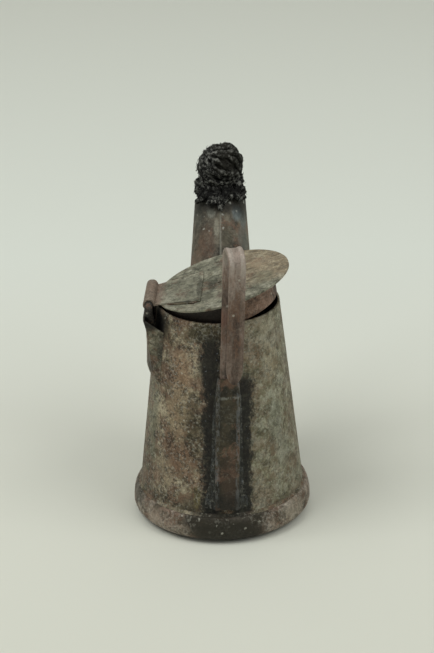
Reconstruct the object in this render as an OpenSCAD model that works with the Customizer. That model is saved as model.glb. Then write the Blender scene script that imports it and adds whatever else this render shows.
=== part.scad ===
// Oil-wick cap lamp of soldered tinplate: a conical font in a pressed base cup,
// a slanting wick spout, a hinged lid with a plug skirt, and a hook for a cap.
// Millimetres. The floor is z = 0, the font stands on the Z axis, the spout
// leans to +Y, the hook faces -Y and the hinge is on the -X side.

/* [Font] */
// Height of the font's rim above the floor
font_h = 63; // [58:0.5:70]
// Outer diameter at the rim
rim_d = 33.5; // [31:0.1:35]
// Outer diameter where the cone leaves the base cup
foot_d = 46; // [44:0.2:50]
// Thickness of the tinplate in the font and the spout
sheet = 0.45; // [0.35:0.05:0.6]
// Width of the lap seam inside the back wall
font_lap = 5; // [3:0.5:8]

/* [Base cup] */
// Height of the cup's lip above the floor
cup_h = 8; // [7:0.5:10]
// How far the cup swells out past the cone on each side
cup_swell = 2; // [1.6:0.1:3]
// Height of the widest place of the cup
cup_belly_h = 3; // [2:0.1:3.5]
// How far the flat bottom stays inside the widest place
cup_turn = 5.6; // [3:0.1:7]
// Thickness of the cup's sheet
cup_sheet = 0.5; // [0.4:0.05:0.7]
// Height of the solder fillet on the lip
lip_solder = 0.8; // [0.5:0.1:0.9]

/* [Spout] */
// Outer diameter of the mouth
mouth_d = 14.8; // [13:0.2:17]
// Outer diameter where the axis crosses the font wall
root_d = 22; // [20:0.2:24]
// Length of the axis outside the font
spout_len = 50.3; // [42:0.5:56]
// Lean from the vertical
spout_lean = 31; // [28:0.5:36]
// Height where the axis crosses the font wall
spout_z = 31.5; // [31:0.5:35]
// Width of the lap seam on top of the spout
spout_lap = 4; // [2:0.5:6]
// Leg of the solder fillet round the spout's foot
foot_solder = 1.3; // [0.8:0.1:1.5]

/* [Lid] */
// How far the lid stands open, from shut
lid_open = 14.6; // [8:0.2:20]
// How far the lid reaches past the rim
lid_overhang = 1.8; // [1.5:0.05:2.4]
// How far the lid's centre sits past the font's axis, away from the hinge
lid_offset = 1.75; // [1:0.05:1.8]
// How far the lid's centre sits towards the spout
lid_shift = 0.5; // [0:0.1:1]
// Thickness of the lid disc
lid_sheet = 0.5; // [0.4:0.05:0.6]
// Depth of the lid's turned edge
lid_edge = 0.75; // [0.65:0.05:0.8]
// Diameter of the vent hole
vent_d = 1.2; // [0.8:0.1:2]
// Depth of the plug skirt under the lid
skirt_depth = 6.8; // [5:0.1:7.5]
// Gap between skirt and rim when the lid is shut
skirt_gap = 0.35; // [0.3:0.05:0.6]
// How far the skirt draws in at its lower edge
skirt_draw = 0.85; // [0.8:0.05:1.6]

/* [Hinge] */
// How far the hinge pin stands outside the rim
hinge_out = 1.75; // [1.6:0.05:2]
// Turn of the hinge from square to the spout
hinge_turn = 1.5; // [0:0.5:6]
// Diameter of the staple wire
wire_d = 2.2; // [1.8:0.1:2.4]
// Running gap between wire and barrel
hinge_play = 0.1; // [0.05:0.01:0.12]
// Length of the barrel
barrel_l = 14.2; // [13:0.2:16]
// Thickness of the hinge strap
strap_sheet = 0.45; // [0.35:0.05:0.55]
// How far the strap's top lies below the pin's middle
strap_drop = 0.25; // [0.1:0.05:0.4]
// Width of the strap's end on the lid
strap_end_w = 20.6; // [17:0.2:22]
// How far the strap's end sits off the hinge's middle, towards the hook
strap_shift = 1.6; // [0:0.1:2]
// Length of the strap from the hinge pin
strap_l = 14.6; // [11:0.2:15]
// Height of the lower edge of the hinge bracket
bracket_z = 43.5; // [41:0.5:45]
// Half angle that the bracket wraps round the font
bracket_wrap = 32.5; // [31:0.5:36]

/* [Hook] */
// Turn of the hook cover from straight behind the spout
hook_turn = 6; // [0:0.5:8]
// Sideways lean of the hook and its cover
hook_lean = 2.1; // [0:0.1:3]
// Turn of the bend's plane from straight behind the spout
hook_face = 13; // [6:0.5:15]
// Width of the hook strip
hook_w = 4.5; // [4:0.1:4.8]
// Thickness of the hook strip between its beads
hook_t = 0.55; // [0.45:0.05:0.65]
// How far the beads on the strip's edges stand out
bead_h = 0.25; // [0.15:0.05:0.4]
// Gap between the hook and the swinging lid
hook_clear = 1.5; // [1.2:0.05:2]
// Radius of the bend at its middle line
bend_r = 3.8; // [3.6:0.1:4.5]
// Height of the top of the bend
hook_top = 87.4; // [80:0.2:92]
// Height of the prong's tip
prong_z = 49.9; // [46:0.1:56]
// Width of the cover that holds the hook to the wall
cover_w = 6.6; // [6.2:0.1:7.5]
// Height of the cover's lower end
cover_z = 10.5; // [10.2:0.1:13]
// Height of the cover's upper end
cover_top = 48; // [44:0.5:50]
// Length over which the cover narrows to the strip at its upper end
cover_neck = 4.6; // [3:0.2:6]

/* [Wick] */
// Diameter of the cotton bundle in the mouth
wick_d = 12.6; // [11:0.2:12.8]
// Width of the charred head
head_w = 15.2; // [13:0.2:17]
// Height of the head's top above the floor
head_top = 92.6; // [88:0.2:96]

/* [Hidden] */
$fn = 96;

// Contact gap between soldered or seated pieces
seat = 0.02;
// Overlap that joins shapes inside one piece
bite = 0.05;

rim_r = rim_d / 2;
wire_r = wire_d / 2;
taper = (foot_d - rim_d) / 2 / (font_h - cup_h);
wall_lean = atan(taper);
cup_r = foot_d / 2 + cup_swell;

// Outer radius of the cone at height z
function wall_r(z) = foot_d / 2 - taper * (z - cup_h);

lid_under = font_h + 0.1;
lid_r = rim_r + lid_overhang;
skirt_r = rim_r - sheet - skirt_gap;
hinge_r = rim_r + hinge_out;
barrel_r = wire_r + hinge_play + strap_sheet;
hinge_z = lid_under + lid_sheet + strap_sheet + strap_drop;

spout_dir = [0, sin(spout_lean), cos(spout_lean)];
spout_root = [0, wall_r(spout_z), spout_z];
spout_draw = (root_d - mouth_d) / 2 / spout_len;
spout_back = 1.1 * root_d;

// Place of the vent hole, from the font's axis
vent_at = [0.9, -1.1];

hook_r = lid_r + hook_clear;
// Height at which the hook's bend begins
bend_z = hook_top - bend_r - hook_t / 2 - bead_h;
// Height of the tang's lower end inside the cover, and how far its middle is from the wall
tang_z = cover_top - 10;
tang_off = hook_t / 2 + bead_h + 0.05;
// How far the cover stands off the wall, to clear the tang's beads
cover_h = hook_t + 2 * bead_h + sheet + 0.15;
// Height at which the strip has left the wall and stands clear of the lid
stand_z = font_h - 1;
// How far the prong leans back towards the font
prong_in = 0.8;
// Length over which the prong narrows to its point
point_l = 4.6;

module tin(shade = 0) {
    color([0.46 + shade, 0.43 + shade, 0.37 + shade]) children();
}

module solder_grey() {
    color([0.42, 0.43, 0.41]) children();
}

// Filled cone of the font, longer than the font at both ends
module font_body(grow = 0) {
    rotate_extrude()
        polygon([[0, -4], [wall_r(-4) + grow, -4],
                 [wall_r(font_h + 6) + grow, font_h + 6], [0, font_h + 6]]);
}

// Filled taper along the spout's axis, from inside the font to past the mouth
module spout_body(inset = 0, past = 0) {
    r_back = root_d / 2 + spout_draw * spout_back - inset;
    r_tip = mouth_d / 2 - spout_draw * past - inset;
    translate(spout_root) rotate([-spout_lean, 0, 0])
        translate([0, 0, -spout_back])
            cylinder(h = spout_back + spout_len + past, r1 = r_back, r2 = r_tip);
}

module font_shell() {
    z0 = cup_belly_h;
    lap_top = font_h - skirt_depth - 4;
    lap_turn = font_lap / (PI * foot_d) * 360;
    tin() difference() {
        union() {
            rotate_extrude()
                polygon([[wall_r(z0) - sheet, z0], [wall_r(z0), z0],
                         [wall_r(font_h), font_h], [wall_r(font_h) - sheet, font_h]]);
            rotate([0, 0, hook_turn - 90 - lap_turn / 2]) rotate_extrude(angle = lap_turn)
                polygon([[wall_r(z0) - 2 * sheet, z0], [wall_r(z0) - sheet / 2, z0],
                         [wall_r(lap_top) - sheet / 2, lap_top],
                         [wall_r(lap_top) - 2 * sheet, lap_top]]);
        }
        spout_body(inset = sheet);
    }
}

// Outer line of the cup: a quarter ellipse from the flat to the belly, and one to the lip
function cup_line(inset) = concat(
    [for (i = [0:6]) let (a = 90 * i / 6)
        [cup_r - cup_turn + (cup_turn - inset) * sin(a),
         cup_belly_h - (cup_belly_h - inset) * cos(a)]],
    [for (i = [1:8]) let (a = 90 * i / 8)
        [wall_r(cup_h) + cup_sheet - inset + seat
             + (cup_r - wall_r(cup_h) - cup_sheet - seat) * cos(a),
         cup_belly_h + (cup_h - cup_belly_h) * sin(a)]]);

module base_cup() {
    outer = cup_line(0);
    inner = cup_line(cup_sheet);
    tin(-0.04) rotate_extrude()
        polygon(concat([[0, 0]], outer, [for (i = [len(inner) - 1:-1:0]) inner[i]],
                       [[0, cup_sheet]]));
}

module base_solder() {
    z1 = cup_h + lip_solder;
    solder_grey() rotate_extrude()
        polygon([[wall_r(cup_h) + seat, cup_h + seat], [wall_r(cup_h) + cup_sheet, cup_h + seat],
                 [wall_r(cup_h) + cup_sheet * 0.45, cup_h + lip_solder * 0.45],
                 [wall_r(z1) + seat, z1]]);
}

module spout() {
    tin(-0.08) difference() {
        union() {
            spout_body();
            spout_seam();
        }
        spout_body(inset = sheet, past = 1);
        font_body(seat);
    }
}

// The lap: a second thickness of sheet on the spout's upper side, one edge on the middle line
module spout_seam() {
    turn = spout_lap / (PI * mouth_d) * 360;
    r_back = root_d / 2 + spout_draw * spout_back;
    translate(spout_root) rotate([-spout_lean, 0, 0]) rotate([0, 0, -90])
        rotate_extrude(angle = turn)
            polygon([[r_back - sheet / 2, -spout_back], [r_back + sheet * 0.7, -spout_back],
                     [mouth_d / 2 + sheet * 0.7, spout_len],
                     [mouth_d / 2 - sheet / 2, spout_len]]);
}

// Direction round the spout's axis: 0 is +X, 90 is its lower side, 270 its upper side
function spout_side(a) = [cos(a), cos(spout_lean) * sin(a), -sin(spout_lean) * sin(a)];

// Distance along the axis at which the spout's line at angle a, moved off by a small way,
// meets the font's cone moved off by the seat
function foot_s(a, off) =
    let (base = spout_root + (root_d / 2 + off) * spout_side(a),
         step = spout_dir - spout_draw * spout_side(a),
         reach = wall_r(base[2]) + seat,
         qa = step[0] * step[0] + step[1] * step[1] - taper * taper * step[2] * step[2],
         qb = 2 * (base[0] * step[0] + base[1] * step[1] + taper * reach * step[2]),
         qc = base[0] * base[0] + base[1] * base[1] - reach * reach)
    (-qb + sqrt(qb * qb - 4 * qa * qc)) / (2 * qa);

function foot_point(a, s, off) =
    spout_root + s * spout_dir + (root_d / 2 + off - spout_draw * s) * spout_side(a);

// A point moved out to stand a small way off the font's wall
function on_wall(p, off) =
    let (r = wall_r(p[2]) + off, k = r / norm([p[0], p[1]])) [p[0] * k, p[1] * k, p[2]];

function unit(v) = v / norm(v);

// Four corners of the fillet at angle a: in the corner, on the spout, hollow middle, on the font
function foot_ring(a) =
    let (lap = a > 260 && a < 278 + spout_lap / (PI * mouth_d) * 360 ? sheet * 0.75 : 0,
         off = 1.5 * seat + lap,
         s = foot_s(a, off),
         inner = foot_point(a, s, off),
         out = unit([inner[0], inner[1], taper * norm([inner[0], inner[1]])]),
         along = unit(spout_side(a) - (spout_side(a) * out) * out),
         high = foot_point(a, s + foot_solder, off),
         low = on_wall(inner + foot_solder * along, seat))
    [inner, high, 0.5 * inner + 0.25 * (low + high), low];

module spout_solder() {
    steps = 72;
    rings = [for (i = [0:steps - 1]) foot_ring(360 * i / steps)];
    solder_grey() closed_loft(rings);
}

// Triangles between two rings of m corners that start at corners p and q
function band(p, q, m) = [for (j = [0:m - 1]) let (k = (j + 1) % m)
    each [[p + j, q + k, p + k], [p + j, q + j, q + k]]];

// Skin over a closed round of rings that run anticlockwise about the way ahead
module closed_loft(rings) {
    n = len(rings);
    m = len(rings[0]);
    polyhedron([for (r = rings) for (p = r) p],
               [for (i = [0:n - 1]) each band(i * m, ((i + 1) % n) * m, m)]);
}

// Skin over a row of such rings, with both ends closed by a fan
module open_loft(rings) {
    n = len(rings);
    m = len(rings[0]);
    end = (n - 1) * m;
    polyhedron([for (r = rings) for (p = r) p],
               concat([for (i = [0:n - 2]) each band(i * m, (i + 1) * m, m)],
                      [for (j = [1:m - 2]) [0, j, j + 1]],
                      [for (j = [1:m - 2]) [end, end + j + 1, end + j]]));
}

// Sheet between an outer and an inner grid of points, rows listed upward and left to right
module sheet_loft(outer, inner) {
    n = len(outer);
    m = len(outer[0]);
    points = concat([for (r = outer) each r], [for (r = inner) each r]);
    function quad(a, b, c, d) = [[a, b, c], [a, c, d]];
    function id(skin, i, j) = skin * n * m + i * m + j;
    polyhedron(points, concat(
        [for (i = [0:n - 2]) for (j = [0:m - 2])
            each quad(id(0, i, j), id(0, i, j + 1), id(0, i + 1, j + 1), id(0, i + 1, j))],
        [for (i = [0:n - 2]) for (j = [0:m - 2])
            each quad(id(1, i, j), id(1, i + 1, j), id(1, i + 1, j + 1), id(1, i, j + 1))],
        [for (j = [0:m - 2]) each quad(id(0, 0, j), id(1, 0, j), id(1, 0, j + 1), id(0, 0, j + 1))],
        [for (j = [0:m - 2])
            each quad(id(0, n - 1, j), id(0, n - 1, j + 1), id(1, n - 1, j + 1), id(1, n - 1, j))],
        [for (i = [0:n - 2]) each quad(id(0, i, 0), id(0, i + 1, 0), id(1, i + 1, 0), id(1, i, 0))],
        [for (i = [0:n - 2])
            each quad(id(0, i, m - 1), id(1, i, m - 1), id(1, i + 1, m - 1), id(0, i + 1, m - 1))]));
}

// Frame on the wall under the hook: X runs round the wall, -Y points out, Z climbs the cone
module on_back_wall() {
    mid = (cover_z + cover_top) / 2;
    rotate([0, 0, hook_turn]) translate([0, -wall_r(mid), mid]) rotate([-wall_lean, 0, 0])
        rotate([0, hook_lean, 0]) children();
}

// Section of the cover's channel, with a folded ridge along each edge
module cover_section() {
    w = cover_w / 2;
    ridge = 0.35;
    polygon([[-w, 1.5], [-w, -cover_h + 0.1], [-w + 0.25, -cover_h - 0.3],
             [-w + 0.7, -cover_h - ridge], [-w + 1.15, -cover_h],
             [w - 1.15, -cover_h], [w - 0.7, -cover_h - ridge],
             [w - 0.25, -cover_h - 0.3], [w, -cover_h + 0.1], [w, 1.5],
             [w - sheet, 1.5], [w - sheet, -cover_h + sheet],
             [-w + sheet, -cover_h + sheet], [-w + sheet, 1.5]]);
}

module hook_cover() {
    half = (cover_top - cover_z) / 2 / cos(wall_lean);
    neck_share = (hook_w / 2 + 0.6) / (cover_w / 2);
    tin(-0.1) difference() {
        on_back_wall() {
            translate([0, 0, -half]) linear_extrude(2 * half - cover_neck) cover_section();
            translate([0, 0, half - cover_neck - bite])
                linear_extrude(cover_neck + bite, scale = [neck_share, 1], slices = 1) cover_section();
        }
        font_body(seat);
    }
}

// Solder run out along both sides of the cover: share of its height, width, height on the cover
solder_run = [[0, 2.6, 0.75], [0.07, 2.5, 0.7], [0.2, 1.4, 0.6], [0.4, 0.9, 0.5], [0.6, 0.8, 0.45],
              [0.75, 0.6, 0.35], [0.86, 0.35, 0.2]];

module cover_solder() {
    w = cover_w / 2 + seat;
    span = (cover_top - cover_z) / cos(wall_lean);
    function ring(k, side) = let (z = (k[0] - 0.5) * span, far = side * (w + k[1]))
        [[side * w, 1.4, z], [side * w, -cover_h * k[2], z],
         [side * (w + k[1] * 0.3), 0.1 - cover_h * k[2] * 0.45, z], [far, 0.25, z], [far, 1.4, z]];
    solder_grey() difference() {
        on_back_wall() {
            open_loft([for (k = solder_run) ring(k, 1)]);
            open_loft([for (i = [len(solder_run) - 1:-1:0]) ring(solder_run[i], -1)]);
        }
        font_body(seat);
    }
}

// Section of the hook strip, half the width w across: a flat web between two low round beads
function strip_edge(w) =
    let (b = hook_t / 2 + bead_h, k = min(1, w / 1.4))
    [[w, b * 0.4], [w - 0.2 * k, b * 0.86], [w - 0.6 * k, b], [w - k, b * 0.86],
     [w - 1.35 * k, hook_t / 2]];
function strip_section(w) =
    let (e = strip_edge(w), back = [for (i = [len(e) - 1:-1:0]) e[i]])
    concat(e, [for (q = back) [-q[0], q[1]]], [for (q = e) -q], [for (q = back) [q[0], -q[1]]]);

// One section of the strip at a place, with its directions across and out of the bend
function strip_ring(at, across, out, w) =
    [for (q = strip_section(w)) at + q[0] * across + q[1] * out];

// Middle of the strip on its way up: distance from the font's axis, and sideways, at height z
function strip_out(z) =
    let (f = min(1, max(0, (z - cover_top) / (stand_z - cover_top))), g = f * f * (3 - 2 * f))
    (wall_r(min(z, cover_top)) + tang_off) * (1 - g) + hook_r * g;
function strip_side(z) = (z - (cover_z + cover_top) / 2) * tan(hook_lean);
function strip_turn(z) =
    hook_turn + (hook_face - hook_turn) * min(1, max(0, (z - cover_top) / (bend_z - cover_top)));
function strip_at(z) = turned(hook_turn, strip_side(z), strip_out(z), z);
function out_dir(a) = [sin(a), -cos(a), 0];
function across_dir(a) = [cos(a), sin(a), 0];
function turned(a, side, out, z) = side * across_dir(a) + out * out_dir(a) + [0, 0, z];

// Half width of the prong a height d above its tip
function prong_w(d) =
    let (f = min(1, d / point_l)) max(0.35, hook_w / 2 * sqrt(1 - pow(1 - f, 2)));

module hook() {
    out = out_dir(hook_face);
    across = across_dir(hook_face);
    up = [for (z = [tang_z:3:bend_z - 1.5]) let (a = strip_turn(z))
        strip_ring(strip_at(z), across_dir(a), -out_dir(a), hook_w / 2)];
    bend = [for (b = [0:12:180])
        strip_ring(strip_at(bend_z) + bend_r * ((1 - cos(b)) * out + [0, 0, sin(b)]),
                   across, [0, 0, sin(b)] - cos(b) * out, hook_w / 2)];
    fall = bend_z - prong_z;
    down = [for (d = concat([for (d = [fall - 3:-3:point_l + 1]) d],
                            [for (i = [8:-1:0]) point_l * i / 8]))
        strip_ring(strip_at(bend_z) + (2 * bend_r - prong_in * (1 - d / fall)) * out
                       - (fall - d) * [tan(hook_lean) * across[0], tan(hook_lean) * across[1], 1],
                   across, out, prong_w(d))];
    tin() open_loft(concat(up, bend, down));
}

module hinge_frame() {
    rotate([0, 0, -hinge_turn]) children();
}

// The lid's pieces are drawn shut in the hinge's frame, then swung open about the pin
module lid_pose() {
    hinge_frame() translate([-hinge_r, 0, hinge_z]) rotate([0, -lid_open, 0])
        translate([hinge_r, 0, -hinge_z]) children();
}

// Wire of radius r along a path, straight between round bends of middle radius bend
module wire(path, r, bend) {
    n = len(path);
    dirs = [for (i = [0:n - 2]) unit(path[i + 1] - path[i])];
    // How much of each straight a bend takes up
    cut = [for (i = [0:n - 1]) i == 0 || i == n - 1 ? 0
        : bend * tan(acos(min(1, dirs[i - 1] * dirs[i])) / 2)];
    for (i = [0:n - 2]) {
        d = dirs[i];
        translate(path[i] + cut[i] * d) rotate([0, acos(d[2]), atan2(d[1], d[0])])
            cylinder(h = norm(path[i + 1] - path[i]) - cut[i] - cut[i + 1], r = r, $fn = 32);
    }
    for (i = [1:n - 2]) {
        y = dirs[i - 1];
        inward = unit(dirs[i] - (dirs[i] * y) * y);
        z = cross(-inward, y);
        at = path[i] - cut[i] * y + bend * inward;
        multmatrix([[-inward[0], y[0], z[0], at[0]], [-inward[1], y[1], z[1], at[1]],
                    [-inward[2], y[2], z[2], at[2]]])
            rotate_extrude(angle = acos(min(1, y * dirs[i]))) translate([bend, 0])
                circle(r, $fn = 32);
    }
}

// How far the legs stand from the hinge's middle, and the heights of their knees, of their
// feet on the wall and of their ends
leg_y = barrel_l / 2 + 0.3 + wire_r;
leg_knee_z = hinge_z - 0.86 * wire_d;
leg_foot_z = leg_knee_z - 2.4 * wire_d;
leg_low_z = leg_foot_z - 1.1 * wire_d;
// Gap between a leg's foot and the wall, and the staple's bends at their middle line
leg_gap = 0.12;
wire_bend = wire_r + 0.1;

function leg_foot(side, z) =
    let (y = -side * (leg_y - wire_d), r = wall_r(z) + wire_r + leg_gap)
    [-sqrt(r * r - y * y), y, z];

module hinge_staple() {
    function leg(side) = [[-hinge_r, -side * leg_y, hinge_z], [-hinge_r - 0.06, -side * leg_y, leg_knee_z],
                          leg_foot(side, leg_foot_z), leg_foot(side, leg_low_z)];
    near = leg(1);
    far = leg(-1);
    tin(-0.12) hinge_frame()
        wire([near[3], near[2], near[1], near[0], far[0], far[1], far[2], far[3]],
             wire_r, wire_bend);
}

bracket_top = font_h - 1.8;
bracket_rows = 10;

// How far the bracket's panel stands off the wall at height share f: 0 is its lower edge,
// and the upper part makes room for the staple's legs
function bracket_lift(f) = lookup(f, [
    [0, 0.3], [0.1, 0.9], [0.33, 1.2], [0.5, 1.45], [0.63, 1.75], [0.77, 1.85], [0.88, 2.25], [1, 2.75]]);

// A point of the bracket off the wall; flat is 1 on the round wall and near 0 on a flat panel
function bracket_point(y, off, z, flat) =
    [-sqrt(pow(wall_r(z) + off, 2) - flat * y * y), y, z];

// A row of the bracket's skin, t outside its inner face: foot, flank, panel, flank, foot
function bracket_line(f, t) =
    let (z = bracket_z + f * (bracket_top - bracket_z),
         z_foot = z - 4 * f,
         lift = bracket_lift(f),
         flat = 1 - 0.95 * pow(f, 0.8),
         foot_y = wall_r(z_foot) * sin(bracket_wrap),
         edge_y = wall_r(z) * sin(bracket_wrap) - 0.7 * (1 - f) + 1.3 * pow(f, 3),
         out = unit([lift, foot_y - edge_y]),
         foot = [foot_y + t, 0.06, z_foot],
         mid = [(foot_y + edge_y) / 2 + t * out[0], lift / 2 + t * out[1], (z + z_foot) / 2])
    concat(
        [bracket_point(-foot[0], foot[1], foot[2], 1), bracket_point(-mid[0], mid[1], mid[2], (1 + flat) / 2)],
        [for (i = [-4:4]) let (round = abs(i) == 4 ? 0.7 * t : t)
            bracket_point((edge_y + 0.7 * t) * i / 4, lift + round, z, flat)],
        [bracket_point(mid[0], mid[1], mid[2], (1 + flat) / 2), bracket_point(foot[0], foot[1], foot[2], 1)]);

module hinge_bracket() {
    shares = [for (i = [0:bracket_rows]) i / bracket_rows];
    tin(-0.06) hinge_frame()
        sheet_loft([for (f = shares) bracket_line(f, sheet)], [for (f = shares) bracket_line(f, 0)]);
}

module bracket_solder() {
    z0 = bracket_z - 1.1;
    solder_grey() hinge_frame() rotate([0, 0, 180 - bracket_wrap])
        rotate_extrude(angle = 2 * bracket_wrap)
            polygon([[wall_r(z0) + seat, z0],
                     [wall_r(bracket_z) + 0.55, bracket_z - 0.1],
                     [wall_r(bracket_z - 0.02) + seat, bracket_z - 0.1]]);
}

module lid_disc() {
    tin(0.03) lid_pose() difference() {
        translate([lid_offset, lid_shift, lid_under + lid_sheet]) rotate_extrude()
            polygon([[0, -lid_sheet], [lid_r - 0.6, -lid_sheet], [lid_r - 0.45, -lid_edge],
                     [lid_r - 0.12, -lid_edge], [lid_r, -lid_edge + 0.15],
                     [lid_r, -0.15], [lid_r - 0.15, 0], [0, 0]]);
        // The turned edge is cut away where it would meet the rim
        translate([0, 0, lid_under - 1]) cylinder(h = 1, r = rim_r + 0.3);
        // The straight edge beside the barrel
        translate([barrel_r + 0.3 - hinge_r - lid_r, -lid_r, lid_under - 1]) cube([lid_r, 2 * lid_r, 3]);
        translate([vent_at[0], vent_at[1], lid_under - 1]) cylinder(h = 3, d = vent_d);
    }
}

module lid_skirt() {
    r0 = skirt_r - skirt_draw;
    tin(0.02) lid_pose() translate([0, 0, lid_under - seat]) rotate_extrude()
        polygon([[skirt_r, 0], [r0, -skirt_depth], [r0 - sheet, -skirt_depth],
                 [skirt_r - sheet, 0]]);
}

module skirt_solder() {
    solder_grey() lid_pose() translate([0, 0, lid_under - seat]) rotate_extrude()
        polygon([[skirt_r - sheet - seat, 0], [skirt_r - sheet - 0.9, 0],
                 [skirt_r - sheet - 0.36 - seat, -0.3],
                 [skirt_r - sheet - 0.9 * skirt_draw / skirt_depth - seat, -0.9]]);
}

// How far from the pin the strap begins to widen
strap_root = 2.5;

// Edge of the strap at distance x from the pin: side -1 is towards the hook
function strap_side(x, side) =
    let (f = max(0, (x - strap_root) / (strap_l - strap_root)))
    side * (barrel_l / 2 * (1 - f) + strap_end_w / 2 * f) - strap_shift * f;

// The strap is curled once round the pin, from over it, out and under
module hinge_strap() {
    bore = wire_r + hinge_play;
    curl = 285;
    tin(0.05) lid_pose() translate([-hinge_r, 0, hinge_z]) {
        rotate([90, 0, 0]) rotate([0, 0, -20]) translate([0, 0, seat - barrel_l / 2])
            rotate_extrude(angle = curl) translate([bore, 0])
                square([strap_sheet - seat, barrel_l - 2 * seat]);
        translate([0, 0, seat - strap_drop - strap_sheet]) linear_extrude(strap_sheet - seat) polygon([
            [bore, strap_side(0, -1)], [strap_root, strap_side(0, -1)],
            [strap_l, strap_side(strap_l, -1)], [strap_l, strap_side(strap_l, 1)],
            [strap_root, strap_side(0, 1)], [bore, strap_side(0, 1)]]);
    }
}

module strap_solder() {
    run_w = 2 * strap_sheet;
    x0 = 2 * strap_root;
    x1 = strap_l - run_w;
    solder_grey() lid_pose() translate([-hinge_r, 0, lid_under + lid_sheet + seat])
        for (side = [-1, 1])
            linear_extrude(strap_sheet * 0.6) polygon([
                [x0, strap_side(x0, side) + side * seat], [x1, strap_side(x1, side) + side * seat],
                [x1 - run_w, strap_side(x1, side) + side * run_w * 0.7],
                [x0 + run_w, strap_side(x0, side) + side * run_w]]);
}

mouth_at = spout_root + spout_len * spout_dir;

// Middle line of the wick: from the floor of the font up through the spout
wick_route = [
    [0, 2, 2.5 + wick_d / 2], [0, 6, 3 + wick_d / 2], [0, 9.4, 13], [0, 12.6, 18.5],
    spout_root - 2 * spout_dir, spout_root + 14 * spout_dir,
    spout_root + 30 * spout_dir, mouth_at - seat * spout_dir];

function wick_ring(at, dir, r) =
    let (side = [1, 0, 0], up = cross(dir, side))
    [for (i = [0:23]) let (a = 15 * i, rr = r * (1 - 0.06 * (1 + cos(6 * a))))
        at + rr * cos(a) * side + rr * sin(a) * up];

module wick_core() {
    n = len(wick_route);
    dirs = [for (i = [0:n - 1])
        unit(wick_route[min(i + 1, n - 1)] - wick_route[max(i - 1, 0)])];
    color([0.30, 0.27, 0.22])
        open_loft([for (i = [0:n - 1]) wick_ring(wick_route[i], dirs[i], wick_d / 2)]);
}

// A lump of twisted strands: an egg whose surface carries slanting ridges
module strand_lump(half, ridges, slant, depth) {
    rows = 16;
    cols = 36;
    open_loft([for (i = [0:rows]) let (b = -84 + 168 * i / rows)
        [for (j = [0:cols - 1])
            let (a = 360 * j / cols, k = 1 - depth * (1 - abs(sin(ridges * a / 2 + slant * b))))
            [half[0] * cos(b) * cos(a) * k, half[1] * cos(b) * sin(a) * k, half[2] * sin(b)]]]);
}

// The charred tuft: a collar over the mouth and a knot above it
module wick_head() {
    half = head_w / 2;
    knot = (head_top - mouth_at[2] - 3.5) / 2;
    color([0.13, 0.13, 0.13]) difference() {
        union() {
            translate(mouth_at) rotate([-spout_lean * 0.8, 0, 0]) translate([0.2, 0, 2.4])
                strand_lump([half, half - 0.2, 6], 8, 2, 0.1);
            translate([0.6, mouth_at[1] - 0.9, head_top - knot])
                strand_lump([half - 0.8, half - 1, knot], 8, -2.5, 0.1);
        }
        spout_body(inset = -seat - sheet * 0.75);
    }
}

font_shell();
base_cup();
base_solder();
spout();
spout_solder();
hook();
hook_cover();
cover_solder();
hinge_staple();
hinge_bracket();
bracket_solder();
lid_disc();
lid_skirt();
skirt_solder();
hinge_strap();
strap_solder();
wick_core();
wick_head();
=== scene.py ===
"""Studio scene of a soldered tinplate oil-wick lamp, rusted and sooty with use.

Metres. The floor is z = 0, the font stands on the Z axis, the spout leans to +Y,
the hook faces -Y and the lid's hinge is on the -X side. Materials take their places
from object coordinates, and lengths inside them are in millimetres.
"""

import math
import random

import bmesh
import bpy
from bpy.props import FloatProperty, FloatVectorProperty, IntProperty, PointerProperty
from mathutils import Matrix, Vector


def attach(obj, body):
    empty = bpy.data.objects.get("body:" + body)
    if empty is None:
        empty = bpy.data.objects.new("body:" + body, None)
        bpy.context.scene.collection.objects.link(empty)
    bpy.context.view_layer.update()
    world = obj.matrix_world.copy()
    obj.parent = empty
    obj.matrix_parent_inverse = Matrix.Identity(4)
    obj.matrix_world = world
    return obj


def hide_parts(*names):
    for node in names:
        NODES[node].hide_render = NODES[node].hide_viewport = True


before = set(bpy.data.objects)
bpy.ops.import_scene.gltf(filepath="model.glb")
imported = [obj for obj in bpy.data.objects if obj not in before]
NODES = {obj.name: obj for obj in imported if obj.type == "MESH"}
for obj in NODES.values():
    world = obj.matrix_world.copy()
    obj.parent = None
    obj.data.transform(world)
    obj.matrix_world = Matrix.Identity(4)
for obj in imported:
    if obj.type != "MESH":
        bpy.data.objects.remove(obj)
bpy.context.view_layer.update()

bl_info = {
    "name": "Oil-wick lamp",
    "version": (1, 0, 0),
    "blender": (4, 5, 0),
    "location": "View3D > Sidebar > Lamp",
    "description": "Dresses a soldered tinplate lamp and lights it on a pale floor",
    "category": "Object",
}

MM = 0.001

# The spout's axis, the directions across it, its mouth in millimetres, and how fast it widens
SPOUT_LEAN = math.radians(31)
SPOUT_AXIS = Vector((0, math.sin(SPOUT_LEAN), math.cos(SPOUT_LEAN)))
ACROSS = Vector((1, 0, 0))
TOWARDS_HOOK = ACROSS.cross(SPOUT_AXIS)
MOUTH = Vector((0, 46.24, 74.62))
SPOUT_FLARE = 0.0716

# Middle lines up the back wall: turn and lean in degrees, height of the pivot and sideways
# offset in millimetres
COVER_LINE = (6, 2.1, 29.25, 0.0)
HOOK_LINE = (13, 2.1, 79.0, -0.63)

# How far the font's side comes in for each millimetre up
FONT_TAPER = 0.0963

# The photograph's view, in metres
CAMERA_PLACE = Vector((0.012639, -0.501955, 0.279274))
CAMERA_WAY = Vector((-0.0239, 0.9126, -0.4081))


def srgb(code):
    """Linear colour of an sRGB hex code."""
    parts = [int(code[i:i + 2], 16) / 255 for i in (1, 3, 5)]
    return [c / 12.92 if c <= 0.04045 else ((c + 0.055) / 1.055) ** 2.4 for c in parts] + [1.0]


# Settings


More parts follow.
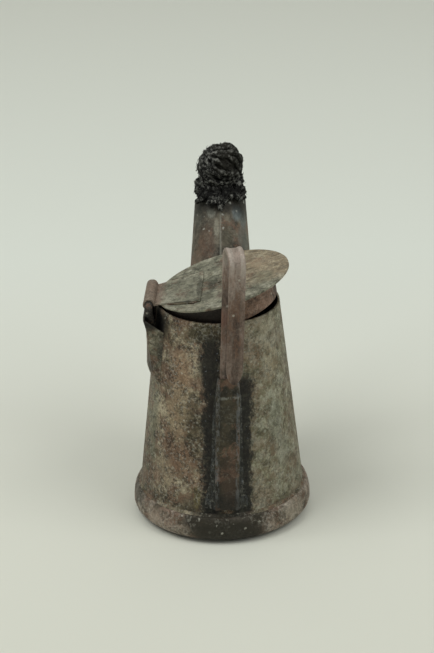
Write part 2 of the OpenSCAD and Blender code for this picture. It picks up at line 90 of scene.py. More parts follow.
class TinSettings(bpy.types.PropertyGroup):
    """How the old tinplate is stained, pitted and flecked."""

    patch: FloatProperty(
        name="Patch size", description="Width of the large stains", default=0.011, unit="LENGTH")
    mottle: FloatProperty(
        name="Mottle size", description="Width of the small stains", default=0.003, unit="LENGTH")
    grain: FloatProperty(
        name="Grain size", description="Width of the rust grain", default=0.00062, unit="LENGTH")
    pits: FloatProperty(
        name="Pit size", description="Width of the dark rust pits", default=0.0009, unit="LENGTH")
    relief: FloatProperty(
        name="Relief", description="Height of the rust's relief", default=0.00025, unit="LENGTH")
    speck: FloatProperty(
        name="Speck spacing", description="Spacing of the pale specks", default=0.0017,
        unit="LENGTH")
    rust: FloatVectorProperty(
        name="Rust", description="Colour of the rust", size=4, min=0, max=1, subtype="COLOR",
        default=srgb("#6f5443"))
    soot: FloatVectorProperty(
        name="Soot", description="Colour of the soot and old oil", size=4, min=0, max=1,
        subtype="COLOR", default=srgb("#16150f"))
    bloom: FloatVectorProperty(
        name="Bloom", description="Colour of the pale specks", size=4, min=0, max=1,
        subtype="COLOR", default=srgb("#c3c2b4"))


class WickSettings(bpy.types.PropertyGroup):
    """How the charred tuft is twisted."""

    strand: FloatProperty(
        name="Yarn radius", description="Radius of one yarn", default=0.00082, unit="LENGTH")
    twist: FloatProperty(
        name="Yarn twist", description="Turn of a yarn's two plies per metre", default=900.0)
    curls: FloatProperty(
        name="Curls", description="Woolly curls per square metre", default=42000.0)
    curl_radius: FloatProperty(
        name="Curl radius", description="Radius of a woolly curl", default=0.0006, unit="LENGTH")
    curl_thread: FloatProperty(
        name="Curl thread", description="Radius of a curl's thread", default=0.0002, unit="LENGTH")
    fibres: FloatProperty(
        name="Loose fibres", description="Burnt fibres per square metre", default=800000.0)
    fibre_thread: FloatProperty(
        name="Fibre thread", description="Radius of a burnt fibre", default=0.00005, unit="LENGTH")
    seed: IntProperty(name="Seed", description="Seed of the wick's random turns", default=7)
    char: FloatVectorProperty(
        name="Char", description="Colour of the charred yarn", size=4, min=0, max=1,
        subtype="COLOR", default=srgb("#080807"))
    # Ashen grey of the ashes, also the painted highlight on the yarns' crowns
    ash_and_sheen: FloatVectorProperty(
        name="Ash", description="Colour of the ash on the yarn", size=4, min=0, max=1,
        subtype="COLOR", default=srgb("#898a84"))


class StudioSettings(bpy.types.PropertyGroup):
    """The camera and the light."""

    lens: FloatProperty(
        name="Lens", description="Focal length for a 36 mm sensor", default=110.2)
    roll: FloatProperty(
        name="Roll", description="Turn of the picture", default=math.radians(1.167),
        subtype="ANGLE", unit="ROTATION")
    key: FloatProperty(
        name="Key light", description="Power of the large light on the left", default=7.0)
    fill: FloatProperty(
        name="Fill light", description="Power of the light on the right", default=4.6)
    top: FloatProperty(
        name="Top light", description="Power of the light overhead", default=3.0)
    sky: FloatProperty(
        name="Room light", description="Strength of the light from all round", default=0.33)


# Nodes


def add(tree, kind, inputs=None, output=0, stops=(), **settings):
    """Add a node with its settings, its inputs as values or links, and give one output."""
    node = tree.nodes.new(kind)
    for name, value in settings.items():
        setattr(node, name, value)
    for name, value in (inputs or {}).items():
        if isinstance(value, bpy.types.NodeSocket):
            tree.links.new(value, node.inputs[name])
        else:
            node.inputs[name].default_value = srgb(value) if isinstance(value, str) else value
    if stops:
        marks = node.color_ramp.elements
        while len(marks) < len(stops):
            marks.new(0.5)
        for mark, (place, tone) in zip(marks, stops):
            mark.position = place
            mark.color = srgb(tone)
    return node.outputs[output] if len(node.outputs) else None


class Shader:
    """A material's node tree, with the patterns that the lamp's finishes share.

    Reach is how far in millimetres the edges of its stains are bent out of true.
    """

    def __init__(self, name, reach=1.3):
        self.material = bpy.data.materials.new(name)
        self.material.use_nodes = True
        self.tree = self.material.node_tree
        self.surface = self.tree.nodes["Principled BSDF"]
        spot = self.node("TexCoord", output="Object")
        self.place = self.node("VectorMath", {0: spot, "Scale": 1 / MM}, operation="SCALE")
        split = self.node("SeparateXYZ", {0: self.place}).node
        self.x, self.y, self.z = split.outputs
        self.reach = reach

        # Waves of about 2.4 mm that bend the edges of stains and specks
        ripple = self.node("TexNoise", {"Vector": self.place, "Scale": 0.42, "Detail": 6.0,
                                        "Roughness": 0.78}, "Color")
        self.bent = self.node("VectorMath", {0: ripple, 1: [2 * reach] * 3, 2: self.place},
                              operation="MULTIPLY_ADD")

    def node(self, kind, inputs=None, output=0, stops=(), **settings):
        """Add a shader node."""
        return add(self.tree, "ShaderNode" + kind, inputs, output, stops, **settings)

    def finish(self, **inputs):
        """Set the surface's inputs, as values or links."""
        for name, value in inputs.items():
            socket = self.surface.inputs[name.replace("_", " ")]
            if isinstance(value, bpy.types.NodeSocket):
                self.tree.links.new(value, socket)
            else:
                socket.default_value = value

    def wear(self, *names):
        """Give the material to CAD nodes."""
        for name in names:
            NODES[name].data.materials.clear()
            NODES[name].data.materials.append(self.material)

    def clouds(self, size, detail=4.0, rough=0.6, stretch=(1, 1, 1), shift=0.0):
        """Cloud noise with features of about a size in metres, mostly from 0.3 to 0.7."""
        turned = self.node("Mapping", {
            "Vector": self.place, "Location": [shift, shift * 0.7, shift * 1.3],
            "Scale": [MM / (size * s) for s in stretch]})
        return self.node("TexNoise", {"Vector": turned, "Scale": 1.0, "Detail": detail,
                                      "Roughness": rough}, "Fac")

    def zone(self, value, low=None, high=None, soft=1.0):
        """1 where a value lies between low and high, falling to 0 over soft beyond them."""
        sides = []
        for edge, way in ((low, -1), (high, 1)):
            if edge is not None:
                first, last = sorted((edge, edge + way * soft))
                sides.append(self.node("MapRange", {
                    "Value": value, "From Min": first, "From Max": last,
                    "To Min": float(way > 0), "To Max": float(way < 0)},
                    interpolation_type="SMOOTHSTEP"))
        return self.product(*sides)

    def product(self, *factors):
        """Where all of several masks meet, times plain numbers."""
        whole = factors[0]
        for factor in factors[1:]:
            whole = self.node("Math", {0: whole, 1: factor}, operation="MULTIPLY")
        return whole

    def either(self, *masks):
        """Where any of several masks lies."""
        whole = masks[0]
        for mask in masks[1:]:
            whole = self.node("Math", {0: whole, 1: mask}, operation="MAXIMUM")
        return whole

    def frayed(self, value, *noises):
        """A value pushed to and fro by noises, each with its whole swing in the value's unit."""
        for noise, swing in noises:
            middle = self.node("Math", {0: noise, 1: -0.5}, operation="ADD")
            value = self.node("Math", {0: middle, 1: swing, 2: value}, operation="MULTIPLY_ADD")
        return value

    def sideways(self, turn, lean, pivot, offset):
        """Millimetres sideways from a middle line up the back wall."""
        angle, slope = math.radians(turn), math.tan(math.radians(lean))
        across = self.node("VectorMath", {
            0: self.place, 1: (math.cos(angle), math.sin(angle), -slope)}, "Value",
            operation="DOT_PRODUCT")
        return self.node("Math", {0: across, 1: slope * pivot - offset}, operation="ADD")

    def stain(self, centre, size, amount):
        """A ragged spot: the amount inside an egg of these half sizes, and 0 outside it."""
        shrink = [1 / s for s in size]
        away = self.node("VectorMath", {
            0: self.bent, 1: shrink,
            2: [-(c + self.reach) * s for c, s in zip(centre, shrink)]}, operation="MULTIPLY_ADD")
        far = self.node("VectorMath", {0: away}, "Value", operation="LENGTH")
        return self.node("MapRange", {"Value": far, "From Min": 0.55, "From Max": 1.15,
                                      "To Min": amount, "To Max": 0.0},
                         interpolation_type="SMOOTHSTEP")

    def specks(self, spacing, share, radius=0.2):
        """Small blunt specks in a share of the cells of a spacing in metres."""
        cells = self.node("TexVoronoi", {"Vector": self.bent, "Scale": MM / spacing}).node
        pick = self.node("SeparateColor", {0: cells.outputs["Color"]})
        return self.product(
            self.zone(cells.outputs["Distance"], None, radius * 0.6, radius * 0.7),
            self.zone(pick, None, share, 0.02))

    def layers(self, colour, *coats):
        """Lay coats over a colour, each an amount and a tone."""
        for amount, tone in coats:
            colour = self.node("Mix", {"Factor": amount, "A": colour, "B": tone}, "Result",
                               data_type="RGBA")
        return colour

    def spots(self, colour, stains):
        """Lay stains over a colour, each a place, half sizes, an amount and a tone."""
        return self.layers(colour, *((self.stain(place, size, amount), tone)
                                     for place, size, amount, tone in stains))

    def old_tin(self, settings, tones, shift, coats=(), stains=(), stretch=(1, 1, 1), rusty=0.54,
                pitted=0.5, shade=0.25, specks=0.1):
        """Colour of old tinplate: three tones, coats, stains, then rust grain, pits and specks.

        Each pattern has a shift of its own, so no two line up. Rust covers what lies above
        rusty in its noise, pitted is how strong the pits and pale scale are, shade how far the
        grain darkens and lightens, and specks the share of cells with a pale speck.
        """
        dark, middle, light = tones
        broad = self.clouds(settings.patch, 3, 0.6, stretch, shift)
        mottle = self.clouds(settings.mottle, 6, 0.75, stretch, shift + 20)
        mixed = self.node("Math", {0: broad, 1: 0.4, 2: self.product(mottle, 0.6)},
                          operation="MULTIPLY_ADD")
        colour = self.node("ValToRGB", {0: mixed}, "Color",
                           stops=((0.41, dark), (0.49, middle), (0.58, light)))
        rust = self.clouds(settings.patch * 0.55, 6, 0.78, stretch, shift + 80)
        rust = self.product(self.zone(rust, rusty, soft=0.06), 0.6)
        colour = self.layers(colour, *coats, (rust, settings.rust))
        colour = self.spots(colour, stains)

        # Pits and pale scale, crowded in places
        crowd = self.clouds(settings.mottle * 1.2, 4, 0.7, stretch, shift + 120)
        crowd = self.zone(crowd, 0.54, soft=0.12)
        pits = self.clouds(settings.pits, 3, 0.7, (1, 1, 1), shift + 160)
        pits = self.product(self.zone(pits, None, 0.44, 0.07), crowd)
        scale = self.clouds(settings.grain * 1.2, 2, 0.65, (1, 1, 1), shift + 200)
        scale = self.product(self.zone(scale, 0.6, soft=0.08), crowd, pitted * 0.45)
        colour = self.layers(colour, (self.product(pits, pitted), settings.soot),
                             (scale, settings.bloom))

        grain = self.clouds(settings.grain, 3, 0.7, (1, 1, 1), shift + 50)
        worn = self.node("MapRange", {"Value": grain, "From Min": 0.36, "From Max": 0.64,
                                      "To Min": 1 - shade, "To Max": 1 + shade})
        colour = self.node("VectorMath", {0: colour, "Scale": worn}, operation="SCALE")
        colour = self.layers(colour, (self.product(self.specks(settings.speck, specks), 0.5),
                                      settings.bloom))

        height = self.node("Math", {0: mottle, 1: 0.8, 2: self.product(grain, 0.5)},
                           operation="MULTIPLY_ADD")
        height = self.node("Math", {0: pits, 1: -0.5, 2: height}, operation="MULTIPLY_ADD")
        bump = self.node("Bump", {
            "Height": height, "Distance": settings.relief * (0.35 + 0.9 * pitted),
            "Strength": 1.0}, "Normal")
        rough = self.node("Math", {0: mottle, 1: -0.4, 2: 0.82}, operation="MULTIPLY_ADD")
        self.finish(Normal=bump, Metallic=0.3, Roughness=rough)
        return colour


# Pieces


def dress_font(settings):
    """Font, base cup and the solder."""
    # Rusted tinplate: tan and olive rust over dull tin, with black runs of soot beside the hook
    tin = Shader("Rusted tinplate font")
    ragged = tin.clouds(0.004, 6, 0.75, (1, 1, 2), 11)
    crumbs = tin.clouds(0.0009, 3, 0.7, (1, 1, 1.3), 13)
    near = tin.zone(tin.frayed(tin.y, (ragged, 8)), None, -3, 7)
    rightwards = tin.frayed(tin.x, (ragged, 6))
    green = tin.node("ValToRGB", {0: tin.clouds(0.003, 6, 0.75, (1, 1, 1), 31)}, "Color",
                     stops=((0.42, "#625f49"), (0.5, "#83816a"), (0.58, "#a0a18e")))
    freckle = tin.zone(tin.clouds(0.0011, 3, 0.7, (1, 1, 1), 71), 0.56, soft=0.05)
    inwards = tin.node("VectorMath", {0: tin.place, 1: (1, 0, -FONT_TAPER)}, "Value",
                       operation="DOT_PRODUCT")
    edge = tin.product(tin.zone(inwards, None, -21.05, 1.6), tin.zone(tin.z, None, 47, 4))
    colour = tin.old_tin(
        settings, ("#322c1e", "#7a705a", "#aaa088"), 3.0, pitted=0.6, shade=0.28, coats=(
            (tin.product(tin.zone(rightwards, 5, soft=5), near, 0.75), green),
            (tin.product(freckle, 0.5), "#66503f"),
            (tin.product(edge, 0.5), "#59614f"),
            (tin.product(tin.zone(tin.z, None, 9, 8), 0.35), "#39352a")), stains=(
            ((-9.5, -15.4, 48.4), (3.0, 5, 7), 0.6, "#8f765c"),
            ((-11.1, -16, 37.2), (4.5, 5, 10), 0.5, "#948469"),
            ((-10.9, -18.2, 23.1), (5, 5, 6), 0.5, "#7f6752"),
            ((-15, -15.5, 18), (3, 4, 6), 0.5, "#94876f"),
            ((-6.6, -18.6, 31), (2.6, 4, 10), 0.6, "#38321f"),
            ((-5, -22, 9.5), (8, 5, 4.5), 0.6, "#383325"),
            ((9.8, -14.7, 53.8), (3.4, 5, 5), 0.65, "#795b48"),
            ((8.8, -16.5, 43), (3, 5, 5), 0.5, "#7d6250"),
            ((14.2, -11.2, 50), (2.4, 4, 8), 0.6, "#9a8a70"),
            ((15.2, -13.1, 32.5), (2.6, 4, 7), 0.6, "#848a7b"),
            ((17.3, -12.4, 22.8), (3, 4, 6), 0.5, "#8b8e80"),
            ((12.5, -10.2, 57.2), (5, 5, 5), 0.6, "#a39a88"),
            ((11.4, -19.6, 12), (4, 4, 4), 0.5, "#8b7467"),
            ((-6.4, -21.4, 13), (1.2, 3, 4), 0.8, "#655d3d"),
            ((-2.5, -16.5, 60), (6, 4, 3.4), 0.8, "#37331e"),
            # Painted shade: dark on the wall between the hinge's wire and the bracket
            ((-14.4, -9.2, 59.5), (2.2, 3, 4), 0.7, "#201e16")))

    # Soot: a run on each side of the hook's cover and a patch above the left one; then
    # painted shade, black on the wall under the hinge
    wavy = tin.frayed(tin.sideways(*COVER_LINE), (ragged, 8), (crumbs, 4.5))
    left = tin.product(tin.zone(wavy, -5.8, -3.0, 2.4), tin.zone(tin.z, 6, 57, 4))
    right = tin.product(tin.zone(wavy, 3.2, 5.8, 2.4), tin.zone(tin.z, 8, 46, 4))
    above = tin.stain((-2.2, -17.6, 49.5), (3.2, 4, 8), 1.0)
    runs = tin.product(tin.either(left, right, above), tin.zone(tin.y, None, -4, 4))
    sooty = tin.node("ValToRGB", {0: tin.clouds(0.001, 4, 0.75, (1, 1, 1.4), 8)}, "Color",
                     stops=((0.42, "#040403"), (0.52, "#0e0e0a"), (0.62, "#2b2c23")))
    tin.finish(Base_Color=tin.layers(
        colour, (tin.product(tin.zone(rightwards, 9, soft=5), near, 0.4), green),
        (tin.product(runs, 0.95), sooty),
        # Painted shade: black on the wall under the hinge
        (tin.stain((-15.8, -5.4, 58.4), (3.2, 5.4, 5.4), 1.0), "#070705"),
        (tin.product(tin.specks(0.0011, 0.18), runs, 0.5), "#8b9198")))
    tin.wear("font_shell")

    # Rusted tinplate of the cup: pink-brown at the sides, oily dark under the hook
    cup = Shader("Rusted tinplate cup")
    colour = cup.old_tin(
        settings, ("#4a4335", "#83786a", "#a0968a"), 40.0, rusty=0.56, pitted=0.45, stains=(
            ((-16, -17, 4), (6, 6, 4), 0.45, "#978778"),
            ((19, -13, 5), (5, 7, 4), 0.5, "#958e7e"),
            ((3, -25, 3), (12, 7, 4.5), 0.85, "#2d2920"),
            ((-5, -24, 6.5), (7, 5, 3.4), 0.75, "#242119"),
            ((2, -22.5, 7.5), (14, 6, 3.6), 0.85, "#2b271b"),
            ((-23, -6, 7), (4, 6, 3), 0.6, "#363730")))
    cup.finish(Base_Color=cup.layers(
        colour, (cup.stain((3, -25, 3), (13, 7, 5), 0.85), "#252217"),
        # Painted contact shade: a dark red-brown band along the bottom edge, where the cup meets
        # the floor
        (cup.product(cup.zone(cup.z, None, 0.5, 0.9), 0.9), "#2c120c"),
        (cup.product(cup.specks(0.0016, 0.1), 0.5), settings.bloom)))
    cup.wear("base_cup")

    # Dull grey solder, stained like the tin beside it
    solder = Shader("Stained solder")
    solder.finish(Base_Color=solder.old_tin(
        settings, ("#3d382a", "#6b6450", "#8d846f"), 61.0, stains=(
            ((1, -23, 9), (10, 7, 4), 0.85, "#24221b"),)))
    solder.wear("base_solder", "spout_solder", "bracket_solder", "skirt_solder", "strap_solder")

    # Sooted solder beside the cover: oily black with bluish specks, worn grey here and there; its
    # black is partly painted shade under the cover's end
    soot_and_shade = Shader("Sooted and shaded solder", 0.6)
    worn = soot_and_shade.zone(soot_and_shade.clouds(0.0011, 5, 0.8, (1, 1, 1.8), 3), 0.57, soft=0.05)
    # Near-black tones: soot, with painted shade under the cover's end
    colour = soot_and_shade.old_tin(
        settings, ("#0d0d0a", "#191913", "#2b2b23"), 70.0, rusty=0.7, pitted=0.3)
    soot_and_shade.finish(Base_Color=soot_and_shade.layers(
        colour, (soot_and_shade.product(worn, 0.25), "#6a6f71"),
        (soot_and_shade.product(soot_and_shade.specks(0.0011, 0.18), 0.5), "#8b9198")))
    soot_and_shade.wear("cover_solder")


def dress_spout(settings):
    """Spout, darkened by smoke towards its mouth."""
    # Smoked tinplate: brown-grey, black at the mouth, with pale scale where water ran
    tin = Shader("Smoked tinplate", 1.0)
    along = tin.node("VectorMath", {0: tin.place, 1: SPOUT_AXIS}, "Value",
                     operation="DOT_PRODUCT")
    smoke = tin.frayed(along, (tin.clouds(0.0025, 5, 0.7, (1, 1, 1), 15), 7))
    seam = tin.product(tin.zone(tin.x, 0.0, 0.3, 0.25), tin.zone(tin.y, None, 41, 1),
                       tin.zone(tin.clouds(0.0015, 3, 0.6, (1, 1, 2), 25), 0.42, soft=0.1))
    colour = tin.old_tin(
        settings, ("#322f26", "#565044", "#767060"), 90.0, stretch=(1, 1, 1.5),
        specks=0.05, shade=0.14, pitted=0.12, rusty=0.58, stains=(
            ((-4, 32.8, 66.5), (3, 5, 6), 0.6, "#5c4839"),
            ((1.9, 33.3, 67), (1.8, 4, 6), 0.7, "#3d3a2b"),
            ((-6.3, 33, 60), (2, 5, 5), 0.45, "#7e705f"),
            ((6.6, 36, 66), (2, 4, 5), 0.55, "#6b6f69"),
            ((4.9, 38.4, 73.4), (1.8, 3, 2.4), 0.8, "#7f8b8d"),
            ((6.6, 39.5, 71), (1.2, 3, 4), 0.6, "#6b7576"),
            ((-0.9, 34.2, 70.6), (0.9, 3, 3), 0.6, "#8f8d7e"),
            ((-2.6, 37, 74), (1.5, 3, 1.5), 0.6, "#85887d"),
            ((-6.2, 39.4, 72.6), (1.5, 4, 5), 0.5, "#4f514a")))
    tin.finish(Base_Color=tin.layers(
        colour, (tin.product(seam, 0.5), "#8f8f83"),
        (tin.product(tin.zone(smoke, 85.2, soft=5.5), 0.85), "#181914"),
        (tin.product(tin.specks(0.0019, 0.2), 0.6), "#b3b6ac")))
    tin.wear("spout")


def dress_hook(settings):
    """Hook and its cover."""
    # Brown tinplate strip: pink-brown rust, worn pale on its two beads, with painted light making
    # it paler towards the top of its bend and a painted highlight on the beads there
    tin = Shader("Brown tinplate strip", 0.6)
    side = tin.node("Math", {0: tin.sideways(*HOOK_LINE)}, operation="ABSOLUTE")
    flow = tin.clouds(0.0012, 4, 0.65, (1, 1, 4), 7)
    height = tin.frayed(tin.z, (flow, 8))
    bead = tin.product(tin.zone(side, 1.1, 1.9, 0.5), tin.zone(flow, 0.42, soft=0.15))
    web = tin.product(tin.zone(side, None, 0.75, 0.4), tin.zone(flow, None, 0.52, 0.2))
    colour = tin.old_tin(
        settings, ("#342a23", "#665549", "#84746a"), 120.0, stretch=(0.7, 1, 2.2),
        rusty=0.57, pitted=0.16, shade=0.15, specks=0.03, coats=(
            (tin.product(web, 0.5), "#40332b"), (tin.product(bead, 0.3), "#7d6d62"),
            # Painted light: paler towards the top of the bend
            (tin.product(tin.zone(height, 80, soft=8), 0.7), "#a2958a")), stains=(
            ((4.2, -22, 50), (4, 6, 2.4), 0.85, "#221e17"),
            ((1.6, -20, 66), (2, 3, 3), 0.4, "#7a5449")))
    tin.finish(Base_Color=tin.layers(
        # Painted highlight on the beads at the top of the bend
        colour, (tin.product(tin.zone(height, 83, soft=4), bead, 0.4), "#c2bab0")))
    tin.wear("hook")

    # Dark tinplate cover: oily brown, worn to pale grey-blue along its folded edges
    cover = Shader("Dark tinplate cover", 0.5)
    side = cover.node("Math", {0: cover.sideways(*COVER_LINE)}, operation="ABSOLUTE")
    worn = cover.zone(cover.clouds(0.0011, 5, 0.8, (1, 1, 1.8), 3), 0.52, soft=0.05)
    colour = cover.old_tin(
        settings, ("#1c1a11", "#302b1e", "#443d2d"), 150.0, pitted=0.15, shade=0.16,
        specks=0.02, rusty=0.6, stains=(
            ((2.6, -22, 19), (3, 4, 9), 0.5, "#46352a"),
            ((2.4, -22, 38), (3, 4, 5), 0.4, "#3d3a2c")))
    cover.finish(Base_Color=cover.layers(
        colour, (cover.product(cover.zone(side, 2.5, soft=0.5), worn, 0.45), "#75797a"),
        (cover.product(cover.zone(cover.z, None, 13, 4), 0.6), "#15130d"),
        (cover.product(cover.zone(cover.z, 42.6, 43.0, 0.4), worn, 0.6), "#7f8179")))
    cover.wear("hook_cover")


def dress_hinge(settings):
    """Staple wire and bracket."""
    # Dark rusted iron wire: brown-black with a dull sheen
    wire = Shader("Rusted iron wire", 0.5)
    wire.finish(Base_Color=wire.old_tin(
        settings, ("#0f0e0b", "#2a2722", "#46413a"), 180.0, rusty=0.65, pitted=0.15,
        shade=0.15, specks=0.0))
    wire.wear("hinge_staple")

    # Olive tinplate bracket: dull green-brown, black at its top under the hinge with soot and
    # painted shade
    plate = Shader("Olive tinplate bracket", 0.8)
    colour = plate.old_tin(
        settings, ("#3a372c", "#6a6655", "#8f8a77"), 200.0, pitted=0.45, stains=(
            ((-18.5, -7, 47), (3, 4, 2), 0.6, "#33322a"),
            ((-18, -5, 56), (3, 4, 3), 0.4, "#8d7a69"),
            ((-15.5, -8.5, 52), (1.6, 2.5, 5), 0.6, "#2d2c26")))
    plate.finish(Base_Color=plate.layers(
        # Soot and painted shade: black from about 59 mm up, under the hinge
        colour, (plate.product(plate.zone(plate.z, 59, soft=2), 0.8), "#12110d")))
    plate.wear("hinge_bracket")


def lid_tin(lid, settings, shift, coats=(), stains=()):
    """Colour of the grey-green tinplate that the lid and its strap are cut from."""
    rightwards = lid.frayed(lid.x, (lid.clouds(0.005, 5, 0.7, (1, 1, 1), 9), 8))
    tan = lid.product(lid.zone(rightwards, 5, soft=5), lid.zone(lid.y, -5, soft=6))
    warm = lid.node("ValToRGB", {0: lid.clouds(0.0028, 5, 0.7, (1.4, 1, 1), 19)}, "Color",
                    stops=((0.4, "#7b6b55"), (0.5, "#998970"), (0.6, "#b5a88d")))
    streaks = lid.clouds(0.0015, 5, 0.75, (2, 1, 1), 29)
    patchy = lid.zone(lid.clouds(0.006, 4, 0.7, (1, 1, 1), 39), 0.48, soft=0.1)
    return lid.old_tin(
        settings, ("#4e4e41", "#848371", "#a8a694"), shift, rusty=0.6, pitted=0.3,
        shade=0.18, stains=stains, coats=(
            (lid.product(tan, 0.8), warm),
            (lid.product(lid.zone(streaks, 0.57, soft=0.05), patchy, 0.22), "#b3b19f"),
            (lid.product(lid.zone(streaks, None, 0.41, 0.05), patchy, 0.3), "#33332a"),
            *coats))


def dress_lid(settings):
    """Lid disc, its strap and its skirt."""
    # Grey-green tinplate of the lid: tan towards its far right, pale near the rim
    lid = Shader("Grey-green tinplate lid")
    lid.finish(Base_Color=lid_tin(lid, settings, 250.0, stains=(
        ((12, -4.4, 71.6), (4, 4, 3), 0.5, "#696b58"),
        ((12, 5.7, 71.5), (4, 4, 3), 0.35, "#a5927a"),
        ((-6.7, -14.5, 66.8), (4, 2, 3), 0.6, "#a8a490"),
        ((-3, -9.5, 67.6), (2.4, 3, 3), 0.55, "#464638"),
        ((-1.5, -2.6, 68), (1.4, 4, 3), 0.65, "#2f2f25"),
        ((1.6, -10.7, 68.8), (2, 3, 3), 0.4, "#7d685b"),
        ((-10.7, -9, 65.6), (3, 2, 3), 0.5, "#464839"),
        ((3, 10, 69.5), (7, 4, 3), 0.35, "#7d7d6c"))))
    lid.wear("lid_disc")

    # The lid's tinplate on the strap, with pink rust on its curl
    strap = Shader("Pink-rusted tinplate strap")
    rightwards = strap.frayed(strap.x, (strap.clouds(0.003, 5, 0.7, (1, 1, 1), 17), 6))
    curl = strap.product(strap.zone(rightwards, None, -16.2, 2.5), 0.85)
    strap.finish(Base_Color=lid_tin(strap, settings, 220.0, coats=((curl, "#806d60"),), stains=(
        ((-8.5, -3, 66), (7, 12, 5), 0.3, "#5a594a"),
        ((-5.0, -2, 67.4), (0.9, 8, 3), 0.7, "#3d3d31"),
        ((-11, -9.9, 66), (5, 1.2, 3), 0.7, "#36362d"))))
    strap.wear("hinge_strap")

    # Pink-brown tinplate of the skirt, with painted shade: black on its left, where the lid's disc
    # overhangs it
    skirt = Shader("Pink-brown tinplate skirt", 0.8)
    rightwards = skirt.frayed(skirt.x, (skirt.clouds(0.003, 4, 0.7, (1, 1, 1), 37), 6))
    colour = skirt.old_tin(
        settings, ("#402f25", "#715949", "#896f5f"), 280.0, rusty=0.56, pitted=0.25)
    skirt.finish(Base_Color=skirt.layers(
        # Painted shade: black on the skirt's left, under the lid's disc
        colour, (skirt.product(skirt.zone(rightwards, None, 1, 5), 0.92), "#0c0906")))
    skirt.wear("lid_skirt")


def spout_point(turn, radius, along):
    """A point round the spout's axis in millimetres; a turn of 90 degrees is towards the hook."""
    a = math.radians(turn)
    across = math.cos(a) * ACROSS + math.sin(a) * TOWARDS_HOOK
    return MOUTH + radius * across + along * SPOUT_AXIS


def wound_lobe(centre, half, tilt, count, turn, spread, rng):
    """Lines wound over an egg, each from its lower to its upper end.

    Turn is how far a line winds round in radians, and spread how near its ends come to the
    egg's ends in degrees. Each line starts, ends and lies a little out of step.
    """
    steps, wander, swell = 24, 0.16, 0.045
    lines = []
    for k in range(count):
        start = 2 * math.pi * k / count + rng.uniform(-0.14, 0.14)
        low, high = -spread + rng.uniform(-4, 6), spread + rng.uniform(-8, 4)
        lift = rng.uniform(0.9, 1.07)
        line = []
        for i in range(steps + 1):
            t = i / steps
            lat = math.radians(low + (high - low) * t)
            lon = start + turn * (t - 0.5) + wander * math.sin(5 * t + k)
            out = lift * (1 + swell * math.sin(9 * t + 2 * k))
            local = Vector((half[0] * math.cos(lat) * math.cos(lon) * out,
                            half[1] * math.cos(lat) * math.sin(lon) * out,
                            half[2] * math.sin(lat)))
            line.append(centre + tilt @ local)
        lines.append(line)
    return lines


def fringe(rng):
    """Lines that bend over the mouth's near rim, hang beside the spout and curl at their ends.

    The longest hang at one turn round the mouth, and the rest get shorter to both sides of it.
    """
    count, first, apart = 15, 128, 6.4
    longest, reach = 98, 48
    leave, bend, curl = 6.9, 1.45, 0.55
    hang, top = leave + bend, 0.5
    lines = []
    for k in range(count):
        turn = first - apart * k + rng.uniform(-4, 4)
        middle = 1 - abs(turn - longest) / reach
        drop = 0.3 + 4.0 * max(0.0, middle) * rng.uniform(0.5, 1.05)
        rise = rng.uniform(0.0, 1.6)
        sway = rng.uniform(-14, 14)
        line = []
        for i in range(7):
            a = math.radians(130 - 130 * i / 6)
            line.append(spout_point(turn - sway * (1 - i / 6), leave + bend * math.cos(a),
                                    top + (1.5 + rise) * math.sin(a)))
        for i in range(1, 6):
            t = i / 5
            line.append(spout_point(turn + sway * t, hang + SPOUT_FLARE * drop * t,
                                    top - drop * t))
        for i in range(1, 5):
            a = math.radians(45 * i)
            out = SPOUT_FLARE * drop + curl * (1 - math.cos(a))
            line.append(spout_point(turn + sway, hang + out, top - drop - curl * math.sin(a)))
        lines.append(line)
    return lines


def egg(mesh, centre, half, tilt):
    """Add a filled egg to a mesh, under the yarns."""
    place = Matrix.Translation(centre) @ tilt.to_4x4() @ Matrix.Diagonal((*half, 1))
    bmesh.ops.create_icosphere(mesh, subdivisions=4, radius=1.0, matrix=place)


def wool_tree(name, inputs):
    """A geometry node tree with its inputs, as (tree, outputs of its inputs)."""
    tree = bpy.data.node_groups.new(name, "GeometryNodeTree")
    tree.interface.new_socket("Geometry", in_out="INPUT", socket_type="NodeSocketGeometry")
    for label, value in inputs.items():
        kind = "NodeSocketInt" if isinstance(value, int) else "NodeSocketFloat"
        tree.interface.new_socket(label, in_out="INPUT", socket_type=kind).default_value = value
    tree.interface.new_socket("Geometry", in_out="OUTPUT", socket_type="NodeSocketGeometry")
    return tree, add(tree, "NodeGroupInput").node.outputs


def close_tree(tree, wool, material):
    """End a tree in plain smooth geometry with its material."""
    real = add(tree, "GeometryNodeRealizeInstances", {"Geometry": wool})
    smooth = add(tree, "GeometryNodeSetShadeSmooth", {"Geometry": real})
    done = add(tree, "GeometryNodeSetMaterial", {"Geometry": smooth, "Material": material})
    add(tree, "NodeGroupOutput", {0: done})
    return tree


